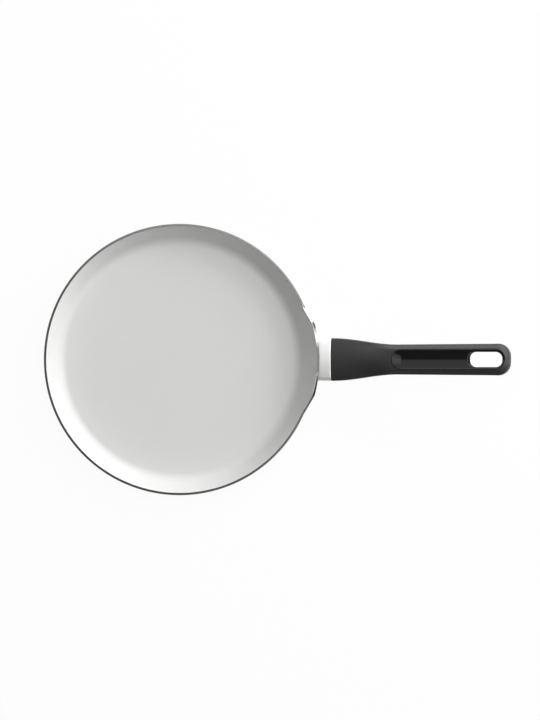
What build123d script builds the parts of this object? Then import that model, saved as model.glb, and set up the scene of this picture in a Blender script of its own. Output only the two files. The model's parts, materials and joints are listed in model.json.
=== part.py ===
from build123d import *
import math
import os

os.makedirs("parts", exist_ok=True)

# A crepe pan, in millimetres. The origin is the centre of the face it rests on,
# +Z is up and +X runs along the handle.

# Pan: a flat floor, a rounded corner and a low flared wall
rim_radius = 130.0          # outer edge of the rim
wall_reach = 21.2           # from the flat floor's edge out to the rim, seen from above
wall_angle = 52.0           # slope of the wall from the horizontal, degrees
wall_thickness = 2.8
base_thickness = 4.5
inner_corner = 11.5         # radius between floor and wall, inside
corner_thickness = 3.7      # at the turned bevel between base and wall, outside

# Lug: the wall stands higher where the handle joins it
lug_reach = 4.0             # how much further out its rim stands
lug_full_angle = 14.8       # half angle over which it has its full height, degrees
lug_start_angle = 23.5      # half angle at which it starts to rise, degrees
lug_blend = 20.0            # rounding at both ends of its slope

# Induction disc, let into the base and standing a little proud of it
disc_margin = 11.3          # from the edge of the flat floor in to the disc
disc_thickness = 0.6
disc_proud = 0.3
disc_gap = 0.2              # all round, in its recess
hole_radius = 2.6           # of its holes, cut with eight sides
hole_margin = 23.5          # from the disc's edge in to the outermost ring of holes
hole_ring_spacing = 24.0
hole_pitch = 19.6           # along a ring, about

# Handle as a whole
handle_rise = 12.0          # degrees above the horizontal
handle_height = 16.0        # its axis where it passes the lug's rim
seat_gap = 0.1              # between the wall and what is seated on it

# Studs welded on the outside of the wall, and their washers
stud_radius = 3.0
stud_spacing = 22.0
stud_offset = 2.2           # up the wall from where the handle's axis meets it
stud_hole_gap = 0.2
stud_sunk = 3.0             # of its drawn length behind the wall's face, trimmed off
peened_radius = 4.2
peened_height = 1.9
stud_washer_radius = 4.8
stud_washer_thickness = 1.0

# Bracket: a foot on the wall, a tongue into the grip and an end flange
bracket_thickness = 2.2
foot_width = 32.0
foot_length = 15.0          # up the wall
foot_corner = 4.0
tongue_width = 12.0
flange_width = 14.0
flange_drop = 10.6          # from the top of the tongue to the foot of the flange
bracket_reach = 32.0        # face of the flange, past the lug's rim
tongue_top = 5.3            # above the handle's axis
behind_wall = 34.0          # where the ferrule and tongue are drawn from, then trimmed off

# Ferrule: an oval steel sleeve with a web that the grip's spigot stops at
ferrule_width = 40.7
ferrule_height = 16.0
ferrule_crown = 2.4
ferrule_corner = 4.5
ferrule_wall = 0.9
ferrule_length = 12.4       # past the lug's rim
spigot_length = 5.0
web_thickness = 0.9
window_width = 17.0
window_height = 12.0

# Grip
grip_length = 173.6
front_width = 40.9
waist_width = 28.7
end_width = 30.4
flare_length = 64.0         # from the front to the waist
front_top = 8.1             # heights above and below the handle's axis
front_bottom = 8.1
rear_top = 10.0
rear_bottom = 9.6
end_bottom = 7.6
front_crown = 2.2           # how far the top is rounded over, side to side
rear_crown = 0.5
front_bevel = 0.9           # drop of the bevel along the top edges
rear_bevel = 3.4
flat_share = 0.70           # top between the bevels, as a share of the width
under_bevel_width = 4.0     # bevel along the bottom edges
under_bevel_height = 3.5
end_corner = 12.0           # seen from above
end_crown = 1.4
end_bevel_slope = 40.0      # bevel round the end, degrees from the horizontal
end_under_slope = 45.0      # the same underneath
end_allowance = 0.3         # by which the end's outline clears the straight sides
flare_spans = 4             # sections of the flare, less one
spigot_gap = 0.2
pocket_gap = 0.5            # round the bracket inside the grip

# Inlay: a gloss trough in the top of the grip, and the eyelet of the hanging slot
inlay_length = 110.4
inlay_end_margin = 3.8      # from its end to the end of the grip
inlay_width = 19.4
inlay_corner = 9.0
inlay_floor = 1.4           # under the trough
inlay_lip = 1.0             # beside the trough
inlay_gap = 0.1
trough_depth = 2.6
scoop_length = 11.0         # sloped end of the trough
slot_length = 34.0
slot_width = 14.5
slot_corner = 6.1
slot_end_margin = 2.9       # from the end of the inlay to the slot
eyelet_wall = 1.0

# Screw that holds the grip, from the slot to the bracket's nut
screw_radius = 2.5
screw_drop = 1.0            # its axis below the handle's
screw_bore = 2.8
head_radius = 4.2
head_height = 3.2
head_depth = 1.2            # of the head's face below the slot's wall
recess_width = 1.2
recess_depth = 1.6
head_gap = 0.4
washer_radius = 4.2
washer_bore = 2.65
flat_washer_thickness = 1.0
lock_washer_thickness = 1.3
lock_split = 1.0
nut_across_flats = 8.0
nut_height = 4.0
thread_gap = 0.05
screw_past_nut = 1.0

# Places that follow from the sizes above
slope = math.radians(wall_angle)
floor_radius = rim_radius - wall_reach
disc_radius = floor_radius - disc_margin
base_height = disc_proud
floor_height = base_height + base_thickness
corner_end_radius = floor_radius + inner_corner * math.sin(slope)
corner_end_height = floor_height + inner_corner * (1 - math.cos(slope))
rim_inner_radius = rim_radius - wall_thickness * math.sin(slope)
rim_run = (rim_inner_radius - corner_end_radius) / math.cos(slope)
lug_run = rim_run + lug_reach / math.cos(slope)
lug_radius = rim_radius + lug_reach
well_past = 40.0            # how far cutting shapes run beyond what they cut
up = (Align.CENTER, Align.CENTER, Align.MIN)

handle_frame = Location((lug_radius, 0, handle_height), (0, -handle_rise, 0))
grip_front = ferrule_length
grip_end = grip_front + grip_length
waist = grip_front + flare_length
inlay_end = grip_end - inlay_end_margin
inlay_middle = inlay_end - inlay_length / 2
slot_middle = inlay_end - slot_end_margin - slot_length / 2
slot_front = slot_middle - slot_length / 2
head_face = slot_front - head_depth
head_seat = head_face - head_height
washer_seat = head_seat - lock_washer_thickness - flat_washer_thickness
trough_floor = rear_top - rear_crown - trough_depth
inlay_bottom = trough_floor - inlay_floor
web_face = ferrule_length - spigot_length - seat_gap
nut_face = bracket_reach - bracket_thickness


def wall_point(run, depth=0.0):
    """A point of the wall's section: run up the wall, depth under its inner face."""
    radius = corner_end_radius + run * math.cos(slope) + depth * math.sin(slope)
    height = corner_end_height + run * math.sin(slope) - depth * math.cos(slope)
    return (radius, height)


def crossing(first, second):
    """Where two lines of a section cross, each given as a point and a direction."""
    (start, along), (other, direction) = first, second
    between = other - start
    share = (between.X * direction.Y - between.Y * direction.X) / (along.X * direction.Y - along.Y * direction.X)
    return start + along * share


def outer_path(gap, run):
    """Outside of the pan in section, moved out by gap: base, turned bevel and wall."""
    centre = Vector(floor_radius, floor_height + inner_corner)
    lines = []
    for turn, thickness in ((0, base_thickness), (slope / 2, corner_thickness), (slope, wall_thickness)):
        square = Vector(math.sin(turn), -math.cos(turn))
        lines.append((centre + square * (inner_corner + thickness + gap), Vector(math.cos(turn), math.sin(turn))))
    corners = [crossing(lines[0], lines[1]), crossing(lines[1], lines[2])]
    return Polyline((0, base_height - gap), *corners, wall_point(run, wall_thickness + gap)).edges()


def revolved(edges):
    """Turn a closed section, drawn as radius and height, about the upright axis."""
    section = Plane.XZ * make_face(edges)
    return revolve(section, Axis.Z)


def pan_outside(gap):
    """The pan as a solid lump, grown by gap, to cut what is seated on its wall."""
    edges = outer_path(gap, lug_run + well_past)
    start = edges[0] @ 0
    tip = edges[-1] @ 1
    return revolved(edges + [Line(tip, (0, tip.Y)), Line((0, tip.Y), start)])


def tall_pan():
    """The pan with its wall as high all round as it is at the lug."""
    outside = outer_path(0, lug_run)
    corner = CenterArc((floor_radius, floor_height + inner_corner), inner_corner, -90, wall_angle)
    rim = Line(outside[-1] @ 1, wall_point(lug_run))
    inside = [Line(rim @ 1, corner @ 1), corner, Line(corner @ 0, (0, floor_height))]
    return revolved(outside + [rim] + inside + [Line((0, floor_height), (0, base_height))])


def on_rim(angle, run):
    """Point of the wall's inner face at an angle from the handle."""
    radius, height = wall_point(run)
    turn = math.radians(angle)
    return Vector(radius * math.cos(turn), radius * math.sin(turn), height)


def wall_plane(run, depth):
    """Plane lying on the wall below the handle: X across, Y up the wall, Z outwards."""
    radius, height = wall_point(run, depth)
    outwards = (math.sin(slope), 0, -math.cos(slope))
    return Plane(origin=(radius, 0, height), x_dir=(0, 1, 0), z_dir=outwards)


def lug_space():
    """Space under the lug's two slopes, where the wall keeps its greater height."""
    plane = wall_plane(rim_run, 0)
    low = plane.to_local_coords(on_rim(lug_start_angle, rim_run))
    high = plane.to_local_coords(on_rim(lug_full_angle, lug_run))
    peak = low.Y + (high.Y - low.Y) * low.X / (low.X - high.X)
    outline = Polyline(
        (low.X, -well_past),
        (low.X, low.Y),
        (0, peak),
        (-low.X, low.Y),
        (-low.X, -well_past),
        close=True,
    )
    return extrude(plane * make_face(outline), well_past, both=True)


def rim_trimmings():
    """The ring that is trimmed off the tall wall, square to the wall."""
    past = wall_thickness
    corners = [
        wall_point(rim_run, -past),
        wall_point(rim_run, wall_thickness + past),
        wall_point(lug_run + well_past, wall_thickness + past),
        wall_point(lug_run + well_past, -past),
    ]
    return revolved(Polyline(*corners, close=True))


def crosses_rim(edge):
    """True for the short edges that run from one side of the rim to the other."""
    return abs(edge.length - wall_thickness) < wall_thickness / 3


def make_pan_body():
    body = tall_pan() - (rim_trimmings() - lug_space())
    body = fillet(body.edges().filter_by(crosses_rim), lug_blend)
    recess = Cylinder(disc_radius + disc_gap, disc_thickness - disc_proud, align=up)
    return body - Pos(0, 0, base_height) * recess


def hole_places():
    """Places of the disc's holes, in rings from its edge inwards."""
    places = []
    ring = disc_radius - hole_margin
    while ring > hole_ring_spacing:
        places += PolarLocations(ring, round(2 * math.pi * ring / hole_pitch))
        ring -= hole_ring_spacing
    return places


def make_induction_disc():
    disc = Cylinder(disc_radius, disc_thickness, align=up)
    punch = extrude(RegularPolygon(hole_radius, 8), disc_thickness)
    return disc - [place * punch for place in hole_places()]


def axis_run():
    """How far up the wall the handle's axis meets its outer face."""
    radius, height = wall_point(0, wall_thickness)
    rise = math.tan(math.radians(handle_rise))
    axis_height_there = handle_height - (lug_radius - radius) * rise
    return (axis_height_there - height) / (math.sin(slope) - rise * math.cos(slope))


def stud_places():
    """Where the two studs stand on the wall, Z along the stud and outwards."""
    plane = wall_plane(axis_run() + stud_offset, wall_thickness)
    return [plane.location * Pos(side * stud_spacing / 2, 0, 0) for side in (-1, 1)]


def make_weld_studs():
    clamped = seat_gap + bracket_thickness + stud_washer_thickness
    shank = Pos(0, 0, -stud_sunk) * Cylinder(stud_radius, stud_sunk + clamped, align=up)
    head = Pos(0, 0, clamped) * Cylinder(peened_radius, peened_height, align=up)
    outside = pan_outside(seat_gap)
    return [(place * (shank + head)) - outside for place in stud_places()]


def make_stud_washers():
    washer = Cylinder(stud_washer_radius, stud_washer_thickness, align=up)
    washer -= Cylinder(stud_radius + stud_hole_gap, stud_washer_thickness, align=up)
    seat = Pos(0, 0, seat_gap + bracket_thickness)
    return [place * seat * washer for place in stud_places()]


def in_handle(shape):
    """Set a shape drawn along the handle's own axis into the pan's frame."""
    return handle_frame * shape


def across(x):
    """Plane square to the handle's axis: X across the handle, Y up."""
    return Plane(origin=(x, 0, 0), x_dir=(0, 1, 0), z_dir=(1, 0, 0))


def block(x_from, x_to, width, z_from, z_to):
    """A block along the handle, centred side to side."""
    low = (Align.MIN, Align.CENTER, Align.MIN)
    return Pos(x_from, 0, z_from) * Box(x_to - x_from, width, z_to - z_from, align=low)


def rod(radius, x_from, x_to):
    """A round bar along the screw's axis."""
    return extrude(across(x_from) * Pos(0, -screw_drop) * Circle(radius), x_to - x_from)


def make_handle_bracket():
    outer = pan_outside(seat_gap + bracket_thickness)
    inner = pan_outside(seat_gap)
    plane = wall_plane(axis_run(), wall_thickness)
    foot_outline = plane * RectangleRounded(foot_width, foot_length, foot_corner)
    foot = (extrude(foot_outline, foot_width / 2, both=True) & outer) - inner
    for place in stud_places():
        foot -= place * Cylinder(stud_radius + stud_hole_gap, well_past)
    under_tongue = tongue_top - bracket_thickness
    tongue = block(-behind_wall, bracket_reach, tongue_width, under_tongue, tongue_top)
    flange = block(nut_face, bracket_reach, flange_width, tongue_top - flange_drop, tongue_top)
    flange -= rod(screw_bore, nut_face, bracket_reach)
    strip = in_handle(tongue + flange) - inner
    return foot + strip


def make_bracket_nut():
    outline = RegularPolygon(nut_across_flats / 2, 6, major_radius=False)
    outline -= Circle(screw_radius + thread_gap)
    placed = across(nut_face - nut_height) * Pos(0, -screw_drop) * outline
    return in_handle(extrude(placed, nut_height))


def oval(width, height, crown, corner):
    """Closed outline with a rounded-over top and bottom: X across, Y up."""
    half = width / 2
    top = height / 2
    upper = ThreePointArc((-half, top - crown), (0, top), (half, top - crown))
    lower = ThreePointArc((half, crown - top), (0, -top), (-half, crown - top))
    edges = [upper, Line(upper @ 1, lower @ 0), lower, Line(lower @ 1, upper @ 0)]
    outline = make_face(edges)
    return fillet(outline.vertices(), corner)


def ferrule_section(inset):
    """The ferrule's outline, or a smaller one that keeps inset to it all round."""
    width = ferrule_width - 2 * inset
    height = ferrule_height - 2 * inset
    return oval(width, height, ferrule_crown, ferrule_corner - inset)


def make_ferrule():
    sleeve = ferrule_section(0) - ferrule_section(ferrule_wall)
    body = extrude(across(-behind_wall) * sleeve, ferrule_length + behind_wall)
    web = extrude(across(web_face - web_thickness) * ferrule_section(ferrule_wall / 2), web_thickness)
    window = block(0, web_face, window_width, -window_height / 2, window_height / 2)
    return in_handle(body + (web - window)) - pan_outside(seat_gap)


def share_of_flare(x):
    """1 at the front of the grip, 0 from the waist on, with an even blend between."""
    along = min((x - grip_front) / flare_length, 1.0)
    return (1 + math.cos(math.pi * along)) / 2


def grip_section(x):
    """Section of the grip at x: crowned top, bevels along its top and bottom edges."""
    front = share_of_flare(x)
    rear = 1 - front
    past_waist = max(0.0, (x - waist) / (grip_end - waist))
    width = waist_width + (front_width - waist_width) * front + (end_width - waist_width) * past_waist
    top = rear_top + (front_top - rear_top) * front
    bottom = rear_bottom + (front_bottom - rear_bottom) * front + (end_bottom - rear_bottom) * past_waist
    crown = front_crown * front + rear_crown * rear
    bevel = front_bevel * front + rear_bevel * rear
    half = width / 2
    flat = half * (flat_share + (1 - flat_share) * front / 2)
    under = half - under_bevel_width
    shoulder = top - crown - bevel
    hip = under_bevel_height - bottom
    upper = ThreePointArc((-flat, top - crown), (0, top), (flat, top - crown))
    right = Polyline(upper @ 1, (half, shoulder), (half, hip), (under, -bottom))
    left = Polyline((-under, -bottom), (-half, hip), (-half, shoulder), upper @ 0)
    return across(x) * make_face([upper, right, Line(right @ 1, left @ 0), left])


def end_outline(height):
    """Blunt rounded end of the grip seen from above, as a face at a height."""
    side = end_width / 2 + end_allowance
    corner = grip_end - end_crown
    back = grip_end - grip_length / 3
    outline = make_face([
        Polyline((corner, side), (back, side), (back, -side), (corner, -side)),
        ThreePointArc((corner, -side), (grip_end, 0), (corner, side)),
    ])
    end_vertices = outline.vertices().filter_by(lambda v: v.X > back + end_corner)
    return Pos(0, 0, height) * fillet(end_vertices, end_corner)


def grip_end_shape():
    """Tall block with the grip's end as it shows from above, bevelled at its top and bottom."""
    shoulder = rear_top - rear_crown - rear_bevel + end_allowance
    hip = under_bevel_height - end_bottom
    shape = extrude(end_outline(hip), shoulder - hip)
    shape += extrude(end_outline(shoulder), rear_top + end_allowance - shoulder, taper=90 - end_bevel_slope)
    return shape + extrude(end_outline(hip), -(rear_bottom + hip), taper=end_under_slope)


def grip_blank():
    """The grip before anything is let into it: a curved flare and a straight rear part."""
    flare = loft([grip_section(grip_front + step * flare_length / flare_spans) for step in range(flare_spans + 1)])
    blank = flare + loft([grip_section(waist), grip_section(grip_end)], ruled=True)
    end = block(grip_end - 2 * end_corner, grip_end + well_past, 2 * front_width, -well_past, well_past)
    return blank - (end - grip_end_shape())


def upright(x_middle, length, width, corner):
    """Rounded rectangle seen from above, as a tall prism through the grip."""
    outline = Pos(x_middle, 0, 0) * RectangleRounded(length, width, corner)
    return extrude(outline, well_past, both=True)


def above(height):
    """Everything over a height, along the whole handle."""
    return block(-lug_radius, grip_end + well_past, 2 * front_width, height, well_past)


def inlay_space(gap):
    """Room for the inlay: a pocket in the top and a hole for the eyelet, grown by gap."""
    pocket = upright(inlay_middle, inlay_length + 2 * gap, inlay_width + 2 * gap, inlay_corner + gap)
    grown = eyelet_wall + gap
    eyelet = upright(slot_middle, slot_length + 2 * grown, slot_width + 2 * grown, slot_corner + grown)
    return (pocket & above(inlay_bottom)) + eyelet


def screw_well():
    """Recess in the front wall of the slot for the screw's head and washers."""
    return rod(head_radius + head_gap, washer_seat, slot_middle)


def make_handle_grip(blank):
    spigot = extrude(across(web_face + seat_gap) * ferrule_section(ferrule_wall + spigot_gap),
                     grip_front - web_face)
    grip = blank + spigot
    top = tongue_top + pocket_gap
    bottom = tongue_top - flange_drop - pocket_gap
    grip -= block(0, bracket_reach + pocket_gap, flange_width + 2 * pocket_gap, bottom, top)
    grip -= rod(screw_bore, 0, slot_middle)
    grip -= screw_well()
    grip -= inlay_space(inlay_gap)
    return in_handle(grip)


def trough_space():
    """The hollow of the trough: a round channel with rounded ends, one of them sloped."""
    half = inlay_width / 2 - inlay_lip
    radius = (half ** 2 + trough_depth ** 2) / (2 * trough_depth)
    channel = extrude(across(0) * Pos(0, trough_floor + radius) * Circle(radius), grip_end)
    outline = upright(inlay_middle, inlay_length - 2 * inlay_lip, 2 * half, inlay_corner - inlay_lip)
    start = inlay_end - inlay_length + inlay_lip
    lip = trough_floor + trough_depth
    slope_line = Polyline(
        (start - scoop_length, lip + trough_depth),
        (start + scoop_length, trough_floor),
        (start - scoop_length, trough_floor),
        close=True,
    )
    scoop = extrude(Plane.XZ * make_face(slope_line), inlay_width, both=True)
    return (channel & outline) - scoop


def make_grip_inlay(blank):
    inlay = (inlay_space(0) & blank) - trough_space()
    inlay -= upright(slot_middle, slot_length, slot_width, slot_corner)
    inlay -= screw_well()
    return in_handle(inlay)


def make_handle_screw():
    start = nut_face - nut_height - screw_past_nut
    screw = rod(screw_radius, start, head_seat)
    head = rod(head_radius, head_seat, head_face)
    slot = block(head_face - recess_depth, head_face, recess_width, -well_past, well_past)
    return in_handle(screw + (head - slot))


def make_lock_washer():
    washer = rod(washer_radius, head_seat - lock_washer_thickness, head_seat)
    washer -= rod(washer_bore, head_seat - lock_washer_thickness, head_seat)
    washer -= block(washer_seat, head_face, lock_split, -screw_drop, well_past)
    return in_handle(washer)


def make_flat_washer():
    washer = rod(washer_radius, washer_seat, washer_seat + flat_washer_thickness)
    washer -= rod(washer_bore, washer_seat, washer_seat + flat_washer_thickness)
    return in_handle(washer)


def save(name, solids):
    """Write one piece, or a group of like pieces, to its own file."""
    shapes = solids if isinstance(solids, list) else [solids]
    export_step(Compound(children=[solid for shape in shapes for solid in shape.solids()]),
                "parts/" + name + ".step")


def main():
    blank = grip_blank()
    save("pan_body", make_pan_body())
    save("induction_disc", make_induction_disc())
    save("weld_studs", make_weld_studs())
    save("stud_washers", make_stud_washers())
    save("handle_bracket", make_handle_bracket())
    save("bracket_nut", make_bracket_nut())
    save("ferrule", make_ferrule())
    save("handle_grip", make_handle_grip(blank))
    save("grip_inlay", make_grip_inlay(blank))
    save("handle_screw", make_handle_screw())
    save("lock_washer", make_lock_washer())
    save("flat_washer", make_flat_washer())


main()
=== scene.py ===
"""Looks of a crepe pan: a ceramic-lined pan with a dark enamelled outside, a perforated steel base,
a satin steel ferrule and a moulded grip with a gloss trough and a hanging slot."""

import json
import math

import bmesh
import bpy
from bpy.props import FloatProperty, FloatVectorProperty, IntProperty, PointerProperty
from mathutils import Matrix, Vector


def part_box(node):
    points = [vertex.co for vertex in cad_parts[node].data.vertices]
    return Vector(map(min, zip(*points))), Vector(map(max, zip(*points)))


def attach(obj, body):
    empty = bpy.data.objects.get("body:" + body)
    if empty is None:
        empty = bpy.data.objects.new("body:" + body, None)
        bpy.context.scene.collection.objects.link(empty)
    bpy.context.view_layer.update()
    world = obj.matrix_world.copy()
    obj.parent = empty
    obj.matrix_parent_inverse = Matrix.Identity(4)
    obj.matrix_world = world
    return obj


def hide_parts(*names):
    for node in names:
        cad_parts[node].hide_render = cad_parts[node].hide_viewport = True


bl_info = {
    "name": "Crepe pan",
    "version": (1, 0, 0),
    "blender": (4, 5, 0),
    "location": "View3D > Sidebar > Crepe pan",
    "description": "Builds the finished surfaces of a crepe pan round its packed parts",
    "category": "Object",
}

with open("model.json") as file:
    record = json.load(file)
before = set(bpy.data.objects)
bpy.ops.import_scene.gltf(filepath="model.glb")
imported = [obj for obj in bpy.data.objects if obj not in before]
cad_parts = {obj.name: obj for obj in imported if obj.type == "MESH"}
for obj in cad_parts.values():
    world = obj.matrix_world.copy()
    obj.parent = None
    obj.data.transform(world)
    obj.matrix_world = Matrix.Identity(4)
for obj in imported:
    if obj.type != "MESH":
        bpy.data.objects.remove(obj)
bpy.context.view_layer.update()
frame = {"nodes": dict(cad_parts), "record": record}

BODY = "root"
mm = 0.001
MERGED = 0.002 * mm
CLEAR = 30 * mm
pan_low, pan_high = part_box("pan_body")
disc_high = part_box("induction_disc")[1]
slot_mount = next(m for m in frame["record"]["mounts"] if m["name"] == "hang_slot")
handle_rise = math.atan2(-slot_mount["axis"][0], slot_mount["axis"][2])


# Sizes and colours that a user may change

def length(name, text, default):
    return FloatProperty(name=name, description=text, default=default, min=0.0, unit="LENGTH", precision=5)


def turn(name, text, degrees):
    return FloatProperty(name=name, description=text, default=math.radians(degrees), subtype="ANGLE")


def colour(name, text, red, green, blue):
    shade = (red, green, blue, 1.0)
    return FloatVectorProperty(
        name=name, description=text, default=shade, size=4, min=0.0, max=1.0, subtype="COLOR"
    )


class PanSizes(bpy.types.PropertyGroup):
    """The pressed pan and the disc in its base"""

    rim_radius: length("Rim radius", "Outer edge of the rim", -pan_low.x)
    wall_reach: length("Wall reach", "From the flat floor's edge out to the rim, seen from above", 21.2 * mm)
    wall_angle: turn("Wall angle", "Slope of the wall from the horizontal", 52)
    wall_thickness: length("Wall thickness", "Thickness of the wall", 2.8 * mm)
    base_thickness: length("Base thickness", "Thickness under the flat floor", 4.5 * mm)
    corner_thickness: length("Corner thickness", "Thickness at the turned bevel outside", 3.7 * mm)
    inner_corner: length("Inner corner", "Radius between floor and wall", 11.5 * mm)
    outer_bend: length("Outer bend", "Radius outside between wall and bevel", 6.0 * mm)
    base_edge: length("Base edge", "Radius between bevel and base", 2.0 * mm)
    rim_rounding: length("Rim rounding", "Radius along both edges of the rim", 0.2 * mm)
    lug_reach: length("Lug reach", "How much further out the lug's rim stands", 4.0 * mm)
    lug_full_angle: turn("Lug full angle", "Half angle over which the lug has its full height", 14.8)
    lug_start_angle: turn("Lug start angle", "Half angle at which the lug starts to rise", 23.5)
    lug_softness: length("Lug softness", "Rounding at both ends of the lug's slopes", 1.3 * mm)
    columns: IntProperty(name="Columns", description="Faces round the pan", default=600, min=24)
    disc_radius: length("Disc radius", "Radius of the induction disc", disc_high.x)
    disc_thickness: length("Disc thickness", "Thickness of the induction disc", disc_high.z)
    disc_proud: length("Disc proud", "How far the disc stands out of the base", 0.3 * mm)
    disc_gap: length("Disc gap", "Gap round the disc in its recess", 0.2 * mm)
    hole_radius: length("Hole radius", "Radius of the disc's holes", 2.6 * mm)
    hole_margin: length("Hole margin", "From the disc's edge in to the outermost ring of holes", 23.5 * mm)
    ring_spacing: length("Ring spacing", "Between the rings of holes", 24.0 * mm)
    hole_pitch: length("Hole pitch", "Between holes along a ring, about", 19.6 * mm)


class HandleSizes(bpy.types.PropertyGroup):
    """The ferrule, the grip and the inlay in it, along the handle's own axis"""

    height: length("Handle height", "Height of the handle's axis where it passes the lug's rim", 16.0 * mm)
    ferrule_width: length("Ferrule width", "Width of the ferrule", 40.7 * mm)
    ferrule_height: length("Ferrule height", "Height of the ferrule", 16.0 * mm)
    ferrule_crown: length("Ferrule crown", "How far its top and bottom are rounded over", 2.4 * mm)
    ferrule_corner: length("Ferrule corner", "Radius of its corners", 4.5 * mm)
    ferrule_wall: length("Ferrule wall", "Thickness of its sheet", 0.9 * mm)
    ferrule_length: length("Ferrule length", "Its length past the lug's rim", 12.4 * mm)
    grip_length: length("Grip length", "Length of the grip", 173.6 * mm)
    front_width: length("Front width", "Width at the ferrule", 40.9 * mm)
    waist_width: length("Waist width", "Width at the waist", 28.7 * mm)
    end_width: length("End width", "Width at the end", 30.4 * mm)
    flare_length: length("Flare length", "From the front to the waist", 64.0 * mm)
    front_top: length("Front top", "Height above the axis at the front", 8.1 * mm)
    front_bottom: length("Front bottom", "Depth below the axis at the front", 8.1 * mm)
    rear_top: length("Rear top", "Height above the axis behind the waist", 10.0 * mm)
    rear_bottom: length("Rear bottom", "Depth below the axis at the waist", 9.6 * mm)
    end_bottom: length("End bottom", "Depth below the axis at the end", 7.6 * mm)
    front_crown: length("Front crown", "Rounding over of the top at the front", 2.2 * mm)
    rear_crown: length("Rear crown", "Rounding over of the top behind the waist", 0.5 * mm)
    waist_crown: length("Waist crown", "Further rounding over of the top along the flare", 2.4 * mm)
    front_bevel: length("Front bevel", "Drop of the bevel at the front", 0.9 * mm)
    rear_bevel: length("Rear bevel", "Drop of the bevel behind the waist", 3.4 * mm)
    under_width: length("Under bevel width", "Width of the bevel underneath", 4.0 * mm)
    under_height: length("Under bevel height", "Height of the bevel underneath", 3.5 * mm)
    edge_rounding: length("Edge rounding", "Radius along the grip's edges", 1.3 * mm)
    front_rounding: length("Front rounding", "Radius round the grip's front face", 0.9 * mm)
    end_corner: length("End corner", "Radius of the end's corners, seen from above", 12.0 * mm)
    end_crown: length("End crown", "Bulge of the end, seen from above", 1.4 * mm)
    inlay_length: length("Inlay length", "Length of the inlay", 110.4 * mm)
    inlay_margin: length("Inlay margin", "From its end to the end of the grip", 3.8 * mm)
    inlay_width: length("Inlay width", "Width of the inlay", 19.4 * mm)
    inlay_corner: length("Inlay corner", "Radius of its corners", 9.0 * mm)
    inlay_floor: length("Inlay floor", "Thickness under the trough", 1.4 * mm)
    inlay_lip: length("Inlay lip", "Width of the lip beside the trough", 0.6 * mm)
    inlay_gap: length("Inlay gap", "Gap between inlay and grip", 0.1 * mm)
    trough_depth: length("Trough depth", "Depth of the trough", 2.6 * mm)
    scoop_length: length("Scoop length", "Length of the trough's sloped end", 8.6 * mm)
    slot_length: length("Slot length", "Length of the hanging slot", 34.0 * mm)
    slot_width: length("Slot width", "Width of the hanging slot", 14.5 * mm)
    slot_corner: length("Slot corner", "Radius of its corners", 6.1 * mm)
    slot_margin: length("Slot margin", "From the end of the inlay to the slot", 2.9 * mm)
    eyelet_wall: length("Eyelet wall", "Thickness of the slot's lining", 1.0 * mm)
    well_radius: length("Well radius", "Radius of the recess for the screw's head", 4.6 * mm)
    screw_drop: length("Screw drop", "The screw's axis below the handle's", 1.0 * mm)


class Finishes(bpy.types.PropertyGroup):
    """Colours of the finishes"""

    ceramic: colour("Ceramic", "Lining of the pan", 0.69, 0.69, 0.68)
    enamel: colour("Enamel", "Outside of the pan and its rim", 0.135, 0.136, 0.138)
    aluminium: colour("Aluminium", "Bare turned aluminium", 0.78, 0.78, 0.77)
    disc: colour("Disc steel", "Induction disc", 0.56, 0.56, 0.55)
    ferrule: colour("Ferrule steel", "Satin stainless steel", 0.74, 0.735, 0.725)
    plated: colour("Zinc plating", "Hidden fasteners and bracket", 0.62, 0.63, 0.64)
    grip: colour("Grip", "Matte moulded grip", 0.012, 0.012, 0.0123)
    inlay: colour("Inlay", "Gloss moulded inlay", 0.0030, 0.0030, 0.0032)
    lining: colour("Lining", "Matte wall of the hanging slot", 0.010, 0.010, 0.010)


# Node trees written as expressions

class Value:
    """A node's output that takes part in Python expressions, each of which adds a Math node."""

    def __init__(self, sheet, socket):
        self.sheet = sheet
        self.socket = socket

    def maths(self, operation, *others):
        return self.sheet.maths(operation, self, *others)

    def __abs__(self):
        return self.maths("ABSOLUTE")

    def __gt__(self, other):
        return self.maths("GREATER_THAN", other)

    def __lt__(self, other):
        return self.maths("LESS_THAN", other)


def operator(operation, reflected):
    """The method for one of Python's operators, or for its reflected form."""

    def apply(self, other):
        pair = (other, self) if reflected else (self, other)
        return self.sheet.maths(operation, *pair)

    return apply


for word, operation in (("add", "ADD"), ("sub", "SUBTRACT"), ("mul", "MULTIPLY"), ("truediv", "DIVIDE"),
                        ("mod", "FLOORED_MODULO")):
    setattr(Value, "__" + word + "__", operator(operation, False))
    setattr(Value, "__r" + word + "__", operator(operation, True))


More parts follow.
